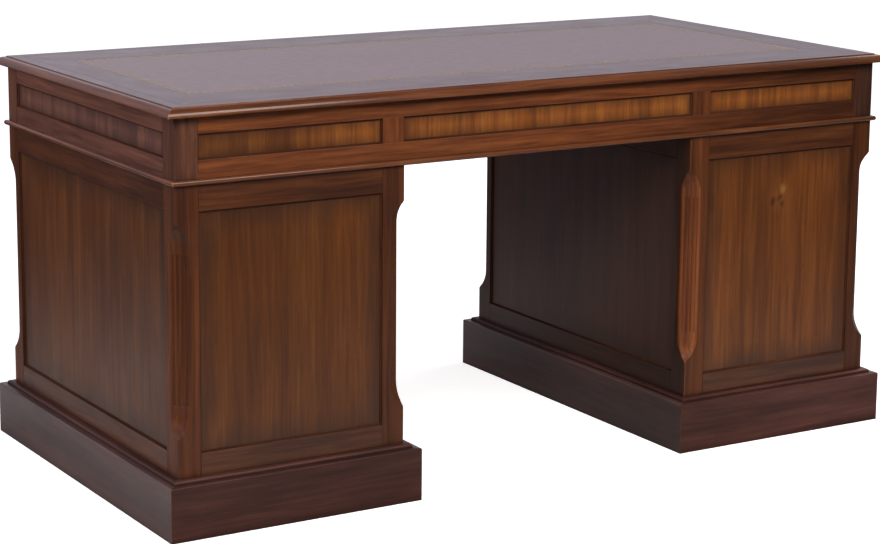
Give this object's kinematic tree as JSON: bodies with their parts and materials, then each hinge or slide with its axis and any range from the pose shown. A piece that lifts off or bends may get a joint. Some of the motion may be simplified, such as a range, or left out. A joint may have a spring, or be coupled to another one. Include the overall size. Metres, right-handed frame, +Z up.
{
  "type": "partners desk",
  "caption": "Mahogany pedestal desk with a leather writing surface, panelled ends and long side, fluted stopped chamfers, and drawers with brass bails.",
  "frame": {"origin": "on the floor, in the middle of the desk's footprint", "axes": "+Z up, +X along the length to the right as seen from the panelled long side, +Y towards the drawer side"},
  "size_m": [1.636, 0.836, 0.78],
  "materials": {
    "mahogany_frame": "french polished, horizontal and vertical grain",
    "mahogany_veneer": "french polished ribbon-stripe veneer",
    "mahogany_plinth": "french polished, slightly darker",
    "mahogany_top": "french polished, glossy",
    "lining_wood": "bare, planed",
    "leather": "polished hide with a gilt tooled line",
    "brass": "aged, lacquered"
  },
  "bodies": {
    "carcass": {"top_board": "mahogany_top", "edge_mouldings": "mahogany_top", "writing_leather": "leather", "frieze_posts": "mahogany_frame", "frieze_rails": "mahogany_frame", "frieze_panels": "mahogany_veneer", "frieze_drawer_rails": "mahogany_frame", "frieze_bearers": "lining_wood", "base_boards": "lining_wood", "bead_mouldings": "mahogany_frame", "locating_dowels": "lining_wood", "left_pedestal_posts": "mahogany_frame", "left_pedestal_rails": "mahogany_frame", "left_pedestal_panels": "mahogany_veneer", "left_drawer_rails": "mahogany_frame", "left_pedestal_bearers": "lining_wood", "left_plinth": "mahogany_plinth", "right_pedestal_posts": "mahogany_frame", "right_pedestal_rails": "mahogany_frame", "right_pedestal_panels": "mahogany_veneer", "right_drawer_rails": "mahogany_frame", "right_pedestal_bearers": "lining_wood", "right_plinth": "mahogany_plinth"},
    "left_frieze_drawer": {"left_frieze_drawer_front": "mahogany_veneer", "left_frieze_drawer_box": "lining_wood", "left_frieze_handle_mounts": "brass"},
    "left_frieze_handle": {"left_frieze_bail": "brass"},
    "middle_frieze_drawer": {"middle_frieze_drawer_front": "mahogany_veneer", "middle_frieze_drawer_box": "lining_wood", "middle_frieze_handle_mounts": "brass"},
    "middle_frieze_handle_left": {"middle_frieze_bail_left": "brass"},
    "middle_frieze_handle_right": {"middle_frieze_bail_right": "brass"},
    "right_frieze_drawer": {"right_frieze_drawer_front": "mahogany_veneer", "right_frieze_drawer_box": "lining_wood", "right_frieze_handle_mounts": "brass"},
    "right_frieze_handle": {"right_frieze_bail": "brass"},
    "left_upper_drawer": {"left_upper_drawer_front": "mahogany_veneer", "left_upper_drawer_box": "lining_wood", "left_upper_handle_mounts": "brass"},
    "left_upper_handle": {"left_upper_bail": "brass"},
    "right_upper_drawer": {"right_upper_drawer_front": "mahogany_veneer", "right_upper_drawer_box": "lining_wood", "right_upper_handle_mounts": "brass"},
    "right_upper_handle": {"right_upper_bail": "brass"},
    "left_middle_drawer": {"left_middle_drawer_front": "mahogany_veneer", "left_middle_drawer_box": "lining_wood", "left_middle_handle_mounts": "brass"},
    "left_middle_handle": {"left_middle_bail": "brass"},
    "right_middle_drawer": {"right_middle_drawer_front": "mahogany_veneer", "right_middle_drawer_box": "lining_wood", "right_middle_handle_mounts": "brass"},
    "right_middle_handle": {"right_middle_bail": "brass"},
    "left_lower_drawer": {"left_lower_drawer_front": "mahogany_veneer", "left_lower_drawer_box": "lining_wood", "left_lower_handle_mounts": "brass"},
    "left_lower_handle": {"left_lower_bail": "brass"},
    "right_lower_drawer": {"right_lower_drawer_front": "mahogany_veneer", "right_lower_drawer_box": "lining_wood", "right_lower_handle_mounts": "brass"},
    "right_lower_handle": {"right_lower_bail": "brass"}
  },
  "joints": [
    {"name": "left_frieze_slide", "type": "slide", "parent": "carcass", "child": "left_frieze_drawer", "axis": [0, 1, 0], "range_m": [0, 0.45]},
    {"name": "left_frieze_bail_hinge", "type": "hinge", "parent": "left_frieze_drawer", "child": "left_frieze_handle", "pos_m": [-0.56, 0.404, 0.7185], "axis": [1, 0, 0], "range_deg": [-15, 110]},
    {"name": "middle_frieze_slide", "type": "slide", "parent": "carcass", "child": "middle_frieze_drawer", "axis": [0, 1, 0], "range_m": [0, 0.45]},
    {"name": "middle_frieze_bail_left_hinge", "type": "hinge", "parent": "middle_frieze_drawer", "child": "middle_frieze_handle_left", "pos_m": [-0.18, 0.404, 0.7185], "axis": [1, 0, 0], "range_deg": [-15, 110]},
    {"name": "middle_frieze_bail_right_hinge", "type": "hinge", "parent": "middle_frieze_drawer", "child": "middle_frieze_handle_right", "pos_m": [0.18, 0.404, 0.7185], "axis": [1, 0, 0], "range_deg": [-15, 110]},
    {"name": "right_frieze_slide", "type": "slide", "parent": "carcass", "child": "right_frieze_drawer", "axis": [0, 1, 0], "range_m": [0, 0.45]},
    {"name": "right_frieze_bail_hinge", "type": "hinge", "parent": "right_frieze_drawer", "child": "right_frieze_handle", "pos_m": [0.56, 0.404, 0.7185], "axis": [1, 0, 0], "range_deg": [-15, 110]},
    {"name": "left_upper_slide", "type": "slide", "parent": "carcass", "child": "left_upper_drawer", "axis": [0, 1, 0], "range_m": [0, 0.45]},
    {"name": "left_upper_bail_hinge", "type": "hinge", "parent": "left_upper_drawer", "child": "left_upper_handle", "pos_m": [-0.56, 0.404, 0.562], "axis": [1, 0, 0], "range_deg": [-15, 110]},
    {"name": "right_upper_slide", "type": "slide", "parent": "carcass", "child": "right_upper_drawer", "axis": [0, 1, 0], "range_m": [0, 0.45]},
    {"name": "right_upper_bail_hinge", "type": "hinge", "parent": "right_upper_drawer", "child": "right_upper_handle", "pos_m": [0.56, 0.404, 0.562], "axis": [1, 0, 0], "range_deg": [-15, 110]},
    {"name": "left_middle_slide", "type": "slide", "parent": "carcass", "child": "left_middle_drawer", "axis": [0, 1, 0], "range_m": [0, 0.45]},
    {"name": "left_middle_bail_hinge", "type": "hinge", "parent": "left_middle_drawer", "child": "left_middle_handle", "pos_m": [-0.56, 0.404, 0.395], "axis": [1, 0, 0], "range_deg": [-15, 110]},
    {"name": "right_middle_slide", "type": "slide", "parent": "carcass", "child": "right_middle_drawer", "axis": [0, 1, 0], "range_m": [0, 0.45]},
    {"name": "right_middle_bail_hinge", "type": "hinge", "parent": "right_middle_drawer", "child": "right_middle_handle", "pos_m": [0.56, 0.404, 0.395], "axis": [1, 0, 0], "range_deg": [-15, 110]},
    {"name": "left_lower_slide", "type": "slide", "parent": "carcass", "child": "left_lower_drawer", "axis": [0, 1, 0], "range_m": [0, 0.45]},
    {"name": "left_lower_bail_hinge", "type": "hinge", "parent": "left_lower_drawer", "child": "left_lower_handle", "pos_m": [-0.56, 0.404, 0.217], "axis": [1, 0, 0], "range_deg": [-15, 110]},
    {"name": "right_lower_slide", "type": "slide", "parent": "carcass", "child": "right_lower_drawer", "axis": [0, 1, 0], "range_m": [0, 0.45]},
    {"name": "right_lower_bail_hinge", "type": "hinge", "parent": "right_lower_drawer", "child": "right_lower_handle", "pos_m": [0.56, 0.404, 0.217], "axis": [1, 0, 0], "range_deg": [-15, 110]}
  ]
}
